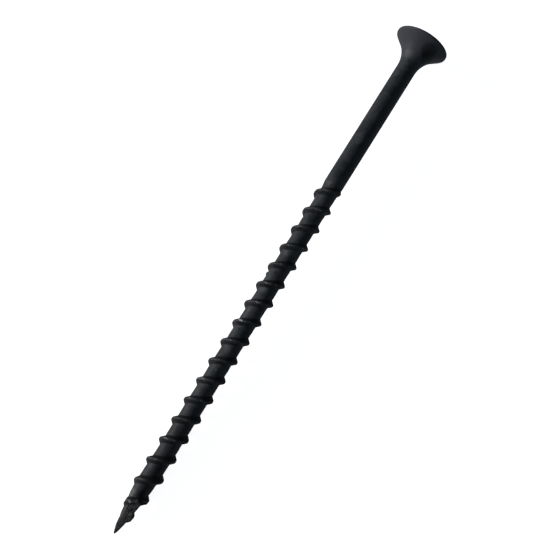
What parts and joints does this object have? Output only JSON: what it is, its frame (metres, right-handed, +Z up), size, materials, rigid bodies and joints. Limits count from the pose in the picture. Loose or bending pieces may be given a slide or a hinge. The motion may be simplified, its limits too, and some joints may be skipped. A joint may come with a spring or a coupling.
{
  "type": "self-drilling wood screw",
  "caption": "Black bugle-head wood screw with a cross recess, a plain shank, a coarse right-hand thread and a slash-cut threaded point, lying on its side.",
  "frame": {"origin": "middle of the footprint on the surface that the screw lies on", "axes": "+Z up, +X along the screw towards its head, within the small slope of its axis as it lies"},
  "size_m": [0.1002, 0.01, 0.01],
  "materials": {
    "black_phosphate": "satin near-black phosphate coating on steel, a little scuffed, greyer at the cut point"
  },
  "bodies": {
    "root": {"screw": "black_phosphate"}
  },
  "joints": []
}
